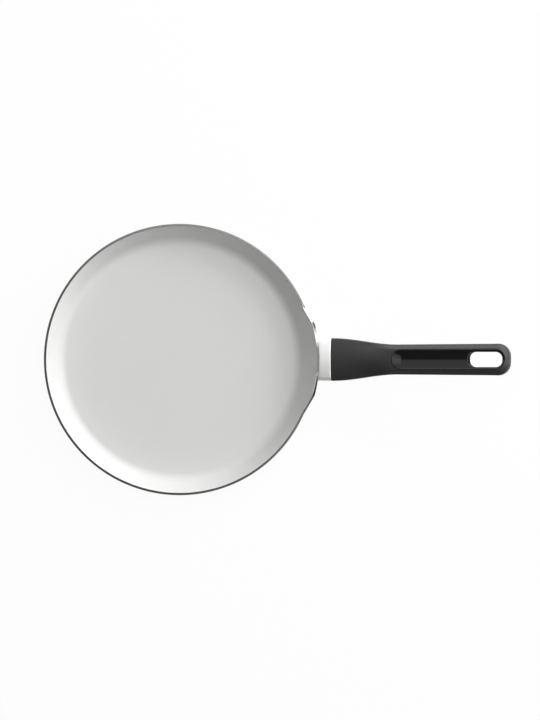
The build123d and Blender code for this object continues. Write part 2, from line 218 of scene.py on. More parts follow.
class Sheet:
    """Adds nodes to one tree."""

    def __init__(self, tree):
        self.tree = tree

    def node(self, kind, settings=None, sockets=None):
        """A node of one kind, with its settings made first and its sockets then set or linked."""
        node = self.tree.nodes.new(kind)
        for name, value in (settings or {}).items():
            if name == "stops":
                self.set_stops(node.color_ramp, value)
            elif name == "items":
                self.add_items(node, value)
            else:
                setattr(node, name, value)
        for key, value in (sockets or {}).items():
            self.plug(node.inputs[key], value)
        return node

    def set_stops(self, ramp, stops):
        while len(ramp.elements) < len(stops):
            ramp.elements.new(1.0)
        for element, (place, shade) in zip(ramp.elements, stops):
            element.position = place
            element.color = (shade, shade, shade, 1.0)

    def add_items(self, node, items):
        for kind, name in items:
            node.capture_items.new(kind, name)

    def plug(self, socket, value):
        if isinstance(value, Value):
            value = value.socket
        if isinstance(value, bpy.types.NodeSocket):
            self.tree.links.new(value, socket)
        else:
            socket.default_value = value

    def value(self, kind, settings=None, sockets=None, output=0):
        """The same, for the value that comes out of the node."""
        return Value(self, self.node(kind, settings, sockets).outputs[output])

    def maths(self, operation, *numbers):
        return self.value("ShaderNodeMath", {"operation": operation}, dict(enumerate(numbers)))

    def point(self, x, y, z):
        return self.value("ShaderNodeCombineXYZ", None, {0: x, 1: y, 2: z})

    def noise(self, vector, scale, detail=2.0, roughness=0.5):
        sockets = {"Vector": vector, "Scale": scale, "Detail": detail, "Roughness": roughness}
        return self.value("ShaderNodeTexNoise", None, sockets)

    def stretched(self, vector, scale, turned=(0.0, 0.0, 0.0)):
        """Coordinates turned and scaled apart along their axes."""
        return self.value("ShaderNodeMapping", None, {"Vector": vector, "Rotation": turned, "Scale": scale})

    def mixed(self, share, first, second):
        """A colour between two."""
        return self.value("ShaderNodeMix", {"data_type": "RGBA"}, {0: share, 6: first, 7: second}, 2)

    def tinted(self, shade, share, darkest, lightest):
        """A colour made darker and lighter by a share from 0 to 1."""
        low = [part * darkest for part in shade[:3]] + [1.0]
        high = [min(part * lightest, 1.0) for part in shade[:3]] + [1.0]
        return self.mixed(share, low, high)

    def bump(self, height, distance, strength=1.0):
        sockets = {"Height": height, "Distance": distance, "Strength": strength}
        return self.value("ShaderNodeBump", None, sockets)

    def surface(self, **sockets):
        """A Principled shader; names have spaces as underscores."""
        named = {name.replace("_", " "): value for name, value in sockets.items()}
        return self.value("ShaderNodeBsdfPrincipled", None, named)

    def place(self):
        return self.value("ShaderNodeTexCoord", output="Object")

    def along(self, vector):
        """The three numbers of a vector."""
        parts = self.node("ShaderNodeSeparateXYZ", None, {0: vector})
        return [Value(self, socket) for socket in parts.outputs]


def new_material(name, lay_out, shade):
    """A material whose nodes a function lays out; it gives back the surface's shader."""
    material = bpy.data.materials.get(name)
    if material:
        return material
    material = bpy.data.materials.new(name)
    material.use_nodes = True
    material.node_tree.nodes.clear()
    sheet = Sheet(material.node_tree)
    sheet.node("ShaderNodeOutputMaterial", None, {"Surface": lay_out(sheet, list(shade))})
    material.diffuse_color = shade
    return material


# Finishes

def eased(value):
    """An even change from 0 to 1 as a value goes from 0 to 1."""
    held = value.maths("MAXIMUM", 0.0).maths("MINIMUM", 1.0)
    return held * held * (3.0 - held * 2.0)


def ceramic(sheet, shade):
    """Sprayed ceramic lining: a soft sheen, a faint orange peel and a few fine flecks."""
    place = sheet.place()
    cloud = sheet.noise(place, 14.0, 3.0)
    fleck = sheet.noise(place, 2600.0, 1.0)
    fine = (fleck - 0.66).maths("MAXIMUM", 0.0) * 3.0
    share = (cloud * 0.75 + 0.2 - fine).maths("MAXIMUM", 0.0)
    peel = sheet.noise(place, 700.0, 2.0)
    return sheet.surface(
        Base_Color=sheet.tinted(shade, share, 0.965, 1.035),
        Roughness=0.42 + cloud * 0.12,
        Specular_IOR_Level=0.25,
        Normal=sheet.bump(peel, 0.00002, 0.5),
        Coat_Weight=0.03,
        Coat_Roughness=0.25,
    )


def enamel(sheet, shade):
    """Dark sprayed enamel with a fine grain, ground away to bright metal along the lug's rim."""
    place = sheet.place()
    x, y, _ = sheet.along(place)
    upwards = sheet.along(sheet.value("ShaderNodeNewGeometry", output="Normal"))[2]
    cloud = sheet.noise(place, 30.0, 4.0)
    grain = sheet.noise(place, 3200.0, 1.0)
    share = cloud * 0.5 + grain * 0.5
    on_lug = eased((x + pan_low.x + 13.0 * mm) / (3.0 * mm)) * eased((abs(y) - 10.0 * mm) / (9.0 * mm))
    ground = eased((upwards - 0.1) / 0.3) * on_lug
    return sheet.surface(
        Base_Color=sheet.mixed(ground, sheet.tinted(shade, share, 0.85, 1.15), (0.62, 0.62, 0.61, 1.0)),
        Roughness=(0.42 + cloud * 0.1) * (1.0 - ground) + ground * 0.03,
        Metallic=ground,
        Specular_IOR_Level=0.28,
        Normal=sheet.bump(grain, 0.00002, 0.35),
    )


def ringed(sheet, place, pitch):
    """Fine rings about the upright axis, as a lathe leaves them, from 0 to 1."""
    x, y, _ = sheet.along(place)
    radius = (x * x + y * y).maths("SQRT")
    around = y.maths("ARCTAN2", x)
    rings = sheet.point(radius / pitch, around * 2.0, 0.0)
    return sheet.noise(rings, 1.0, 3.0, 0.6)


def aluminium(sheet, shade):
    """Aluminium turned on a lathe: fine rings and a slight stain."""
    place = sheet.place()
    rings = ringed(sheet, place, 0.00022)
    stain = sheet.noise(place, 45.0, 4.0)
    return sheet.surface(
        Base_Color=sheet.tinted(shade, rings * 0.6 + stain * 0.4, 0.86, 1.08),
        Roughness=0.28 + rings * 0.16,
        Metallic=1.0,
        Normal=sheet.bump(rings, 0.00003, 0.5),
    )


def disc_steel(sheet, shade):
    """Stainless sheet brushed in circles, with a few heat-darkened patches."""
    place = sheet.place()
    rings = ringed(sheet, place, 0.00045)
    patch = sheet.noise(place, 26.0, 4.0)
    return sheet.surface(
        Base_Color=sheet.tinted(shade, rings * 0.5 + patch * 0.5, 0.78, 1.18),
        Roughness=0.24 + rings * 0.22,
        Metallic=1.0,
        Normal=sheet.bump(rings, 0.00002, 0.5),
    )


def ferrule_steel(sheet, shade):
    """Satin stainless steel, brushed along the handle."""
    place = sheet.place()
    hairs = sheet.noise(sheet.stretched(place, (60.0, 5200.0, 5200.0), (0.0, handle_rise, 0.0)), 1.0, 2.0)
    cloud = sheet.noise(place, 90.0, 2.0)
    return sheet.surface(
        Base_Color=sheet.tinted(shade, hairs * 0.7 + cloud * 0.3, 0.94, 1.05),
        Roughness=0.46 + hairs * 0.1,
        Metallic=0.6,
        Normal=sheet.bump(hairs, 0.000006, 0.4),
    )


def bare_studs(sheet, shade):
    """Hammered aluminium of the weld studs."""
    place = sheet.place()
    dents = sheet.noise(place, 900.0, 2.0)
    return sheet.surface(
        Base_Color=sheet.tinted(shade, dents, 0.85, 1.05),
        Roughness=0.35 + dents * 0.2,
        Metallic=1.0,
        Normal=sheet.bump(dents, 0.00015, 0.6),
    )


def zinc_plating(sheet, shade):
    """Zinc-plated steel, mottled blue and grey."""
    place = sheet.place()
    cloud = sheet.noise(place, 260.0, 4.0, 0.6)
    bluish = [shade[0] * 0.9, shade[1] * 0.97, shade[2] * 1.05, 1.0]
    return sheet.surface(
        Base_Color=sheet.mixed(cloud, shade, bluish),
        Roughness=0.26 + cloud * 0.2,
        Metallic=1.0,
        Normal=sheet.bump(cloud, 0.00004, 0.4),
    )


def grip_plastic(sheet, shade):
    """Matte moulded plastic with a fine spark-eroded grain."""
    place = sheet.place()
    grain = sheet.noise(place, 2300.0, 2.0, 0.6)
    cloud = sheet.noise(place, 55.0, 2.0)
    return sheet.surface(
        Base_Color=sheet.tinted(shade, grain * 0.4 + cloud * 0.6, 0.9, 1.12),
        Roughness=0.42 + grain * 0.14,
        Specular_IOR_Level=0.4,
        Normal=sheet.bump(grain, 0.00004, 0.5),
    )


def inlay_plastic(sheet, shade):
    """Polished black plastic with hair-fine wear."""
    place = sheet.place()
    hairs = sheet.noise(sheet.stretched(place, (120.0, 3200.0, 3200.0), (0.0, handle_rise, 0.3)), 1.0, 1.0)
    cloud = sheet.noise(place, 60.0, 2.0)
    return sheet.surface(
        Base_Color=sheet.tinted(shade, cloud, 0.8, 1.25),
        Roughness=0.09 + (hairs - 0.62).maths("MAXIMUM", 0.0) * 0.5 + cloud * 0.04,
        Specular_IOR_Level=0.26,
        Normal=sheet.bump(hairs, 0.000004, 0.25),
    )


def lining_plastic(sheet, shade):
    """The same plastic left matte inside the hanging slot, with fine draw marks down its wall."""
    place = sheet.place()
    marks = sheet.noise(sheet.stretched(place, (2600.0, 2600.0, 150.0)), 1.0, 2.0)
    return sheet.surface(
        Base_Color=sheet.tinted(shade, marks, 0.85, 1.2),
        Roughness=0.58 + marks * 0.1,
        Specular_IOR_Level=0.12,
        Normal=sheet.bump(marks, 0.00001, 0.3),
    )


def finish(name):
    """One of the finishes above, by name, in the colour that the user set."""
    shades = bpy.context.scene.crepe_finishes
    known = {
        "ceramic": (ceramic, shades.ceramic),
        "enamel": (enamel, shades.enamel),
        "aluminium": (aluminium, shades.aluminium),
        "disc_steel": (disc_steel, shades.disc),
        "ferrule_steel": (ferrule_steel, shades.ferrule),
        "bare_studs": (bare_studs, shades.aluminium),
        "zinc_plating": (zinc_plating, shades.plated),
        "grip_plastic": (grip_plastic, shades.grip),
        "inlay_plastic": (inlay_plastic, shades.inlay),
        "lining_plastic": (lining_plastic, shades.lining),
    }
    lay_out, shade = known[name]
    return new_material("finish_" + name, lay_out, shade)


# Making pieces

def new_object(name, data):
    piece = bpy.data.objects.new(name, data)
    bpy.context.scene.collection.objects.link(piece)
    return piece


def settled(piece):
    """Turn what a piece's modifiers make into its plain mesh, and drop the modifiers."""
    view = bpy.context.evaluated_depsgraph_get()
    mesh = bpy.data.meshes.new_from_object(piece.evaluated_get(view), depsgraph=view)
    piece.modifiers.clear()
    piece.data = mesh
    return piece


def smoothed(piece, degrees):
    """Smooth shading, with sharp edges where faces turn by more than an angle."""
    piece.data.shade_smooth()
    piece.data.set_sharp_from_angle(angle=math.radians(degrees))
    return piece


def fitted(piece, slot, *nodes):
    """Set a finished piece on the object in place of its CAD nodes."""
    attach(piece, BODY)
    if nodes:
        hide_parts(*nodes)
    return piece


LENGTH = "NodeSocketFloat"
COUNT = "NodeSocketInt"
FINISH = "NodeSocketMaterial"


def new_tree(name, inputs):
    """An empty geometry tree with named inputs, and those inputs as values."""
    tree = bpy.data.node_groups.new(name, "GeometryNodeTree")
    for label, kind in inputs:
        tree.interface.new_socket(label, in_out="INPUT", socket_type=kind)
    tree.interface.new_socket("Geometry", in_out="OUTPUT", socket_type="NodeSocketGeometry")
    sheet = Sheet(tree)
    entry = sheet.node("NodeGroupInput")
    return sheet, {label: Value(sheet, entry.outputs[label]) for label, _ in inputs}


def end_tree(sheet, shape, paints):
    """Close a tree with real geometry and its materials, each on the faces that its mask picks."""
    shape = sheet.value("GeometryNodeRealizeInstances", None, {0: shape})
    for material, mask in paints:
        sockets = {"Geometry": shape, "Selection": mask, "Material": material}
        shape = sheet.value("GeometryNodeSetMaterial", None, sockets)
    sheet.node("NodeGroupOutput", None, {0: shape})
    return sheet.tree


def merged(sheet, shape):
    return sheet.value("GeometryNodeMergeByDistance", None, {"Geometry": shape, "Distance": MERGED})


def inputs_for(names, sizes, others):
    """A tree's inputs, each size by its own name and the rest as given."""
    found = {name: getattr(sizes, name.lower().replace(" ", "_")) for name in names if name not in others}
    return {**found, **others}


def grown(name, tree, inputs):
    """A plain mesh piece that a geometry tree makes from these inputs."""
    piece = new_object(name, bpy.data.meshes.new(name))
    modifier = piece.modifiers.new(name, "NODES")
    modifier.node_group = tree
    for item in tree.interface.items_tree:
        if item.item_type == "SOCKET" and item.in_out == "INPUT":
            modifier[item.identifier] = inputs[item.name]
    return settled(piece)


# Pan

def corner_list(sheet, places, radii):
    """A line of corner points joined up and rounded, each corner by its own radius."""
    count = len(places)
    line = sheet.value("GeometryNodeMeshLine", None, {"Count": count})
    index = sheet.value("GeometryNodeInputIndex")
    position = switched(sheet, "VECTOR", index, places)
    moved = sheet.value("GeometryNodeSetPosition", None, {"Geometry": line, "Position": position})
    kept = sheet.node("GeometryNodeCaptureAttribute", {"items": [("FLOAT", "Corner")]}, {0: moved, 1: index})
    curve = sheet.value("GeometryNodeMeshToCurve", None, {0: Value(sheet, kept.outputs[0])})
    radius = switched(sheet, "FLOAT", index, radii)
    rounded = sheet.value(
        "GeometryNodeFilletCurve", {"mode": "POLY"}, {"Curve": curve, "Count": 7, "Radius": radius}
    )
    return rounded, Value(sheet, kept.outputs[1])


def switched(sheet, kind, index, values):
    """One of several values, by index."""
    node = sheet.node("GeometryNodeIndexSwitch", {"data_type": kind}, {0: index})
    while len(node.index_switch_items) < len(values):
        node.index_switch_items.new()
    for place, value in enumerate(values):
        sheet.plug(node.inputs[place + 1], value)
    return Value(sheet, node.outputs[0])


def crossing(angle, outer, inner):
    """Where two lines cross that lie at two distances from a centre, the second turned by angle."""
    return inner * angle.maths("SINE") + (inner * angle.maths("COSINE") - outer) / angle.maths("TANGENT")


PAN_SIZES = ("Rim Radius", "Wall Reach", "Wall Angle", "Wall Thickness", "Base Height", "Base Thickness",
             "Corner Thickness", "Inner Corner", "Outer Bend", "Base Edge", "Rim Rounding", "Lug Reach",
             "Lug Full Angle", "Lug Start Angle", "Lug Softness", "Recess Radius", "Recess Depth")


def pan_tree():
    """The pan as a turned section, with its wall drawn out to the lug by a formula.

    Its surface is closed, but the faces point inwards."""
    inputs = [(name, LENGTH) for name in PAN_SIZES]
    inputs += [("Columns", COUNT), ("Lining", FINISH), ("Outside", FINISH), ("Turned Base", FINISH)]
    sheet, size = new_tree("pan_turned_with_lug", inputs)
    slope = size["Wall Angle"]
    cosine = slope.maths("COSINE")
    sine = slope.maths("SINE")
    corner = size["Inner Corner"]
    thickness = size["Wall Thickness"]
    base = size["Base Height"]
    floor_radius = size["Rim Radius"] - size["Wall Reach"]
    floor_height = base + size["Base Thickness"]

    wall_radius = floor_radius + corner * sine
    wall_height = floor_height + corner * (1.0 - cosine)
    rim_radius = size["Rim Radius"] - thickness * sine
    run = (rim_radius - wall_radius) / cosine
    rim_height = wall_height + run * sine

    half = slope * 0.5
    to_base = corner + size["Base Thickness"]
    to_bevel = corner + size["Corner Thickness"]
    bevel_foot = floor_radius + crossing(half, to_base, to_bevel)
    beside = crossing(half, to_bevel, corner + thickness)
    wall_foot = floor_radius + beside * half.maths("COSINE") + to_bevel * half.maths("SINE")
    wall_foot_height = floor_height + corner + beside * half.maths("SINE") - to_bevel * half.maths("COSINE")
    recess = size["Recess Radius"]
    roof = base + size["Recess Depth"]
    places = [
        sheet.point(0.0, 0.0, floor_height),
        sheet.point(floor_radius + corner * half.maths("TANGENT"), 0.0, floor_height),
        sheet.point(rim_radius, 0.0, rim_height),
        sheet.point(size["Rim Radius"], 0.0, rim_height - thickness * cosine),
        sheet.point(wall_foot, 0.0, wall_foot_height),
        sheet.point(bevel_foot, 0.0, base),
        sheet.point(recess, 0.0, base),
        sheet.point(recess, 0.0, roof),
        sheet.point(0.0, 0.0, roof),
    ]
    rounding = size["Rim Rounding"]
    radii = [0.0, corner, rounding, rounding, size["Outer Bend"], size["Base Edge"], 0.0, 0.0, 0.0]
    section, corner_number = corner_list(sheet, places, radii)

    rows = sheet.value("GeometryNodeAttributeDomainSize", {"component": "CURVE"}, {0: section})
    grid = sheet.value(
        "GeometryNodeMeshGrid", None, {"Vertices X": size["Columns"] + 1.0, "Vertices Y": rows}
    )
    index = sheet.value("GeometryNodeInputIndex")
    column = (index / rows).maths("FLOOR")
    row = index % rows
    where = sheet.value("GeometryNodeInputPosition")
    drawn = sampled(sheet, "FLOAT_VECTOR", section, where, row)
    number = sampled(sheet, "FLOAT", section, corner_number, row)
    radius, _, height = sheet.along(drawn)

    around = column * (2.0 * math.pi) / size["Columns"]
    ahead = around.maths("COSINE")
    aside = around.maths("SINE")
    wall = (wall_radius, rim_radius, rim_height - wall_height, run)
    drawn_out = lug_run(size, cosine, sine, wall, ahead, abs(aside))
    on_rim = (number > 1.5) * (number < 3.5)
    radius = radius + drawn_out * cosine * on_rim
    height = height + drawn_out * sine * on_rim
    spun = sheet.value(
        "GeometryNodeSetPosition", None,
        {"Geometry": grid, "Position": sheet.point(radius * ahead, radius * aside, height)},
    )
    kept = sheet.node("GeometryNodeCaptureAttribute", {"items": [("FLOAT", "Zone")]}, {0: spun, 1: number})
    shape = Value(sheet, kept.outputs[0])
    zone = Value(sheet, kept.outputs[1])
    rim = 1.75
    foot = 5.25
    paints = [(size["Lining"], zone < rim), (size["Outside"], (zone > rim) * (zone < foot)),
              (size["Turned Base"], zone > foot)]
    return end_tree(sheet, merged(sheet, shape), paints)


def sampled(sheet, kind, geometry, field, index):
    """A value read off another geometry's points."""
    return sheet.value(
        "GeometryNodeSampleIndex", {"data_type": kind, "domain": "POINT"},
        {"Geometry": geometry, "Value": field, "Index": index},
    )


def lug_run(size, cosine, sine, wall, ahead, aside):
    """How much further the wall runs at each angle: two straight slopes up to the lug's height."""
    wall_radius, rim_radius, rise, run = wall
    start = size["Lug Start Angle"]
    full = size["Lug Full Angle"]
    lug_radius = rim_radius + size["Lug Reach"]
    most = size["Lug Reach"] / cosine
    low_across = rim_radius * start.maths("SINE")
    low_up = cosine * rim_radius * (start.maths("COSINE") - 1.0)
    high_across = lug_radius * full.maths("SINE")
    high_up = cosine * (lug_radius * full.maths("COSINE") - rim_radius) + sine * sine * most
    slant = (high_up - low_up) / (low_across - high_across)
    reached = low_up + slant * low_across - slant * wall_radius * aside
    reached = reached + cosine * rim_radius - cosine * wall_radius * ahead + sine * rise
    cut = reached / (cosine * cosine * ahead + sine * sine + slant * cosine * aside) - run
    soft = size["Lug Softness"]
    held = cut.maths("SMOOTH_MIN", most, soft).maths("SMOOTH_MAX", 0.0, soft)
    return held * (ahead > 0.5)


def make_pan(sizes):
    inputs = inputs_for(PAN_SIZES, sizes, {
        "Base Height": sizes.disc_proud,
        "Recess Radius": sizes.disc_radius + sizes.disc_gap,
        "Recess Depth": sizes.disc_thickness - sizes.disc_proud,
        "Columns": sizes.columns,
        "Lining": finish("ceramic"),
        "Outside": finish("enamel"),
        "Turned Base": finish("aluminium"),
    })
    return smoothed(grown("pan", pan_tree(), inputs), 40)


# Induction disc

def hole_points(sheet, size):
    """Points for the disc's holes, in rings from its edge inwards."""
    rings = []
    for inwards in range(3):
        radius = size["Disc Radius"] - size["Hole Margin"] - size["Ring Spacing"] * float(inwards)
        count = (radius * (2.0 * math.pi) / size["Hole Pitch"]).maths("ROUND")
        rings.append(sheet.value("GeometryNodeMeshCircle", None, {"Vertices": count, "Radius": radius}))
    return joined(sheet, rings)


def joined(sheet, shapes):
    node = sheet.node("GeometryNodeJoinGeometry")
    for shape in shapes:
        sheet.plug(node.inputs[0], shape)
    return Value(sheet, node.outputs[0])


def spread(sheet, points, shape):
    """Copies of a shape on points, made real."""
    copies = sheet.value("GeometryNodeInstanceOnPoints", None, {"Points": points, "Instance": shape})
    return sheet.value("GeometryNodeRealizeInstances", None, {0: copies})


DISC_SIZES = ("Disc Radius", "Disc Thickness", "Hole Radius", "Hole Margin", "Ring Spacing", "Hole Pitch",
              "Plug Height")


def circle(sheet, points, radius):
    return sheet.value("GeometryNodeCurvePrimitiveCircle", None, {"Resolution": points, "Radius": radius})


def disc_tree():
    """A flat disc punched with rings of round holes."""
    inputs = [(name, LENGTH) for name in DISC_SIZES] + [("Steel", FINISH)]
    sheet, size = new_tree("punched_disc", inputs)
    hole = circle(sheet, 24, size["Hole Radius"])
    edge = circle(sheet, 256, size["Disc Radius"])
    outlines = joined(sheet, [edge, spread(sheet, hole_points(sheet, size), hole)])
    sheet_metal = sheet.value("GeometryNodeFillCurve", {"mode": "TRIANGLES"}, {0: outlines})
    below = sheet.value("GeometryNodeFlipFaces", None, {0: sheet_metal})
    raised = sheet.value(
        "GeometryNodeTransform", None,
        {"Geometry": sheet_metal, "Translation": sheet.point(0.0, 0.0, size["Disc Thickness"])},
    )
    walls = sheet.node(
        "GeometryNodeExtrudeMesh", {"mode": "FACES"},
        {"Mesh": raised, "Offset": sheet.point(0.0, 0.0, -1.0), "Offset Scale": size["Disc Thickness"],
         "Individual": False},
    )
    sides = sheet.value(
        "GeometryNodeDeleteGeometry", {"domain": "FACE"},
        {0: Value(sheet, walls.outputs["Mesh"]), 1: Value(sheet, walls.outputs["Top"])},
    )
    sides = sheet.value("GeometryNodeFlipFaces", None, {0: sides})
    shape = merged(sheet, joined(sheet, [raised, below, sides]))
    return end_tree(sheet, shape, [(size["Steel"], True)])


def plug_tree():
    """Low domes of aluminium that fill the disc's holes from behind."""
    inputs = [(name, LENGTH) for name in DISC_SIZES] + [("Metal", FINISH)]
    sheet, size = new_tree("hole_plugs", inputs)
    loose = 0.97
    dome = sheet.value(
        "GeometryNodeMeshUVSphere", None, {"Segments": 20, "Rings": 10, "Radius": size["Hole Radius"] * loose}
    )
    flat = size["Plug Height"] / size["Hole Radius"]
    lowered = sheet.value(
        "GeometryNodeTransform", None,
        {"Geometry": dome, "Scale": sheet.point(1.0, 1.0, flat),
         "Translation": sheet.point(0.0, 0.0, size["Disc Thickness"])},
    )
    shape = spread(sheet, hole_points(sheet, size), lowered)
    return end_tree(sheet, shape, [(size["Metal"], True)])


def disc_inputs(sizes):
    return inputs_for(DISC_SIZES, sizes, {
        "Plug Height": sizes.disc_thickness * 0.4,
        "Steel": finish("disc_steel"),
        "Metal": finish("aluminium"),
    })


# Handle

def handle_place(sizes):
    """From the handle's own axis to the pan's frame."""
    start = Matrix.Translation((pan_high.x, 0.0, sizes.height))
    return start @ Matrix.Rotation(-handle_rise, 4, "Y")


def arc_points(centre, radius, start, end, count):
    """Points along an arc, its ends included; angles in radians."""
    points = []
    for step in range(count + 1):
        angle = start + (end - start) * step / count
        points.append(Vector((centre[0] + radius * math.cos(angle), centre[1] + radius * math.sin(angle))))
    return points


def rounded_corner(before, corner, after, radius, count):
    """Points that round off a corner of an outline."""
    back = (before - corner).normalized()
    ahead = (after - corner).normalized()
    half = back.angle(ahead) / 2
    reach = radius / math.tan(half)
    middle = (back + ahead).normalized()
    centre = corner + middle * radius / math.sin(half)
    start = corner + back * reach - centre
    end = corner + ahead * reach - centre
    sweep = start.angle(end)
    points = []
    for step in range(count + 1):
        share = step / count
        mixed = start * math.sin((1 - share) * sweep) + end * math.sin(share * sweep)
        points.append(centre + mixed / math.sin(sweep))
    return points


def rounded_outline(corners, radii, count):
    """A closed outline with each corner rounded by its own radius."""
    points = []
    for place, corner in enumerate(corners):
        before = corners[place - 1]
        after = corners[(place + 1) % len(corners)]
        if radii[place]:
            points += rounded_corner(before, corner, after, radii[place], count)
        else:
            points.append(corner)
    return points


def rectangle(middle, length_, width, radius, count=24):
    """A rounded rectangle seen from above, in the handle's own axes."""
    ends = ((1, -1), (1, 1), (-1, 1), (-1, -1))
    corners = [Vector((middle + a * length_ / 2, b * width / 2)) for a, b in ends]
    return rounded_outline(corners, [radius] * 4, count)


def mesh_piece(name, vertices, faces):
    mesh = bpy.data.meshes.new(name)
    mesh.from_pydata([tuple(v) for v in vertices], [], faces)
    mesh.validate()
    return new_object(name, mesh)


def grid_faces(columns, rows, closed):
    """Faces between rows of points, each row going round or ending."""
    faces = []
    for row in range(rows - 1):
        for column in range(columns if closed else columns - 1):
            beside = (column + 1) % columns
            low = row * columns
            high = low + columns
            faces.append((low + column, low + beside, high + beside, high + column))
    return faces


def loops_piece(name, loops):
    """A piece skinned over closed loops of points, with flat ends."""
    columns = len(loops[0])
    vertices = [point for loop in loops for point in loop]
    faces = grid_faces(columns, len(loops), True)
    faces.append(tuple(reversed(range(columns))))
    faces.append(tuple(range(len(vertices) - columns, len(vertices))))
    return mesh_piece(name, vertices, faces)


def prism(name, outline, low, high):
    """An upright block with an outline seen from above."""
    loops = [[Vector((p.x, p.y, height)) for p in outline] for height in (low, high)]
    return loops_piece(name, loops)


def combined(piece, tool, operation):
    """Join, cut or keep what a piece shares with another, which is then gone."""
    modifier = piece.modifiers.new(operation, "BOOLEAN")
    modifier.operation = operation
    modifier.solver = "EXACT"
    modifier.object = tool
    settled(piece)
    bpy.data.objects.remove(tool)
    return piece


def set_in_place(piece, sizes, material):
    piece.data.materials.clear()
    piece.data.materials.append(material)
    piece.data.transform(handle_place(sizes))
    return piece


# Ferrule

def oval(sizes, inset):
    """Outline of the ferrule across the handle, or a smaller one inside it."""
    half = sizes.ferrule_width / 2 - inset
    top = sizes.ferrule_height / 2 - inset
    crown = sizes.ferrule_crown
    bow = (half ** 2 + crown ** 2) / (2 * crown)
    reach = math.asin(half / bow)
    radius = sizes.ferrule_corner - inset
    upper = arc_points((0, top - bow), bow, math.pi / 2 - reach, math.pi / 2 + reach, 40)
    side = upper[-1]
    kept = [p for p in upper if abs(p.x) < half - radius * 0.9]
    kept += rounded_corner(kept[-1], side, -upper[0], radius, 12)
    kept += rounded_corner(side, -upper[0], -kept[0], radius, 12)
    return kept + [-p for p in kept]


def wall_face(pan, height):
    """Radius of the wall's outer face at a height."""
    sine = math.sin(pan.wall_angle)
    cosine = math.cos(pan.wall_angle)
    rim_height = pan.disc_proud + pan.base_thickness + pan.inner_corner * (1 - cosine)
    wall_start = pan.rim_radius - pan.wall_reach + pan.inner_corner * sine
    rim_height += (pan.rim_radius - pan.wall_thickness * sine - wall_start) * math.tan(pan.wall_angle)
    outer_height = rim_height - pan.wall_thickness * cosine
    return pan.rim_radius + (height - outer_height) / math.tan(pan.wall_angle)


def reach_of_wall(pan, place, across, up, sunk):
    """Where a line along the handle meets the wall, a little under its face."""
    near = -40 * mm
    far = 0.0
    for halving in range(40):
        middle = (near + far) / 2
        point = place @ Vector((middle, across, up))
        if math.hypot(point.x, point.y) < wall_face(pan, point.z) - sunk:
            near = middle
        else:
            far = middle
    return far


def make_ferrule(pan, sizes):
    """A thin sleeve whose far end is shaped to the wall and whose near end is rolled over."""
    place = handle_place(sizes)
    end = sizes.ferrule_length
    lip = 0.45 * mm
    steps = 8
    turns = 5
    sections = [(step / steps, 0.0, end - lip) for step in range(steps + 1)]
    for step in range(1, turns + 1):
        angle = math.pi / 2 * step / turns
        sections.append((1.0, lip * (1 - math.cos(angle)), end - lip + lip * math.sin(angle)))
    sections += [(step / steps, sizes.ferrule_wall, end) for step in range(steps, -1, -1)]
    # Outlines inset by more than the lip's first step have four points more than the first one,
    # which skews the faces from there on, mostly inside the sleeve.
    loops = []
    for share, inset, reach in sections:
        loops.append([along_sleeve(pan, place, p, share, reach) for p in oval(sizes, inset)])
    vertices = [point for loop in loops for point in loop]
    total = len(vertices)
    faces = grid_faces(len(loops[0]), len(loops) + 1, True)
    faces = [tuple(corner % total for corner in face) for face in faces]
    piece = mesh_piece("ferrule_sleeve", vertices, faces)
    set_in_place(piece, sizes, finish("ferrule_steel"))
    return smoothed(outward(piece), 35)


def along_sleeve(pan, place, point, share, end):
    """A point of the sleeve, a share of the way from the wall to its end."""
    sunk = 0.4 * mm
    start = reach_of_wall(pan, place, point.x, point.y, sunk)
    return Vector((start + (end - start) * share, point.x, point.y))


def outward(piece):
    """Turn all faces outwards."""
    made = bmesh.new()
    made.from_mesh(piece.data)
    bmesh.ops.recalc_face_normals(made, faces=made.faces)
    made.to_mesh(piece.data)
    made.free()
    return piece


# Grip

def grip_measures(sizes, x):
    """Half width, heights and bevels of the grip at x, from its front."""
    past_front = x - sizes.ferrule_length
    front = (1 + math.cos(math.pi * min(past_front / sizes.flare_length, 1.0))) / 2
    rear = 1 - front
    past_waist = max(0.0, (past_front - sizes.flare_length) / (sizes.grip_length - sizes.flare_length))
    width = sizes.waist_width + (sizes.front_width - sizes.waist_width) * front
    width += (sizes.end_width - sizes.waist_width) * past_waist
    top = sizes.rear_top + (sizes.front_top - sizes.rear_top) * front
    bottom = sizes.rear_bottom + (sizes.front_bottom - sizes.rear_bottom) * front
    bottom += (sizes.end_bottom - sizes.rear_bottom) * past_waist
    swell = sizes.waist_crown * 4 * rear ** 2 * front
    crown = sizes.front_crown * front + sizes.rear_crown * rear + swell
    bevel = sizes.front_bevel + (sizes.rear_bevel - sizes.front_bevel) * rear ** 1.8 - 0.6 * swell
    half = width / 2
    flat = half * (0.70 + 0.15 * front)
    return half, flat, top, bottom, crown, bevel


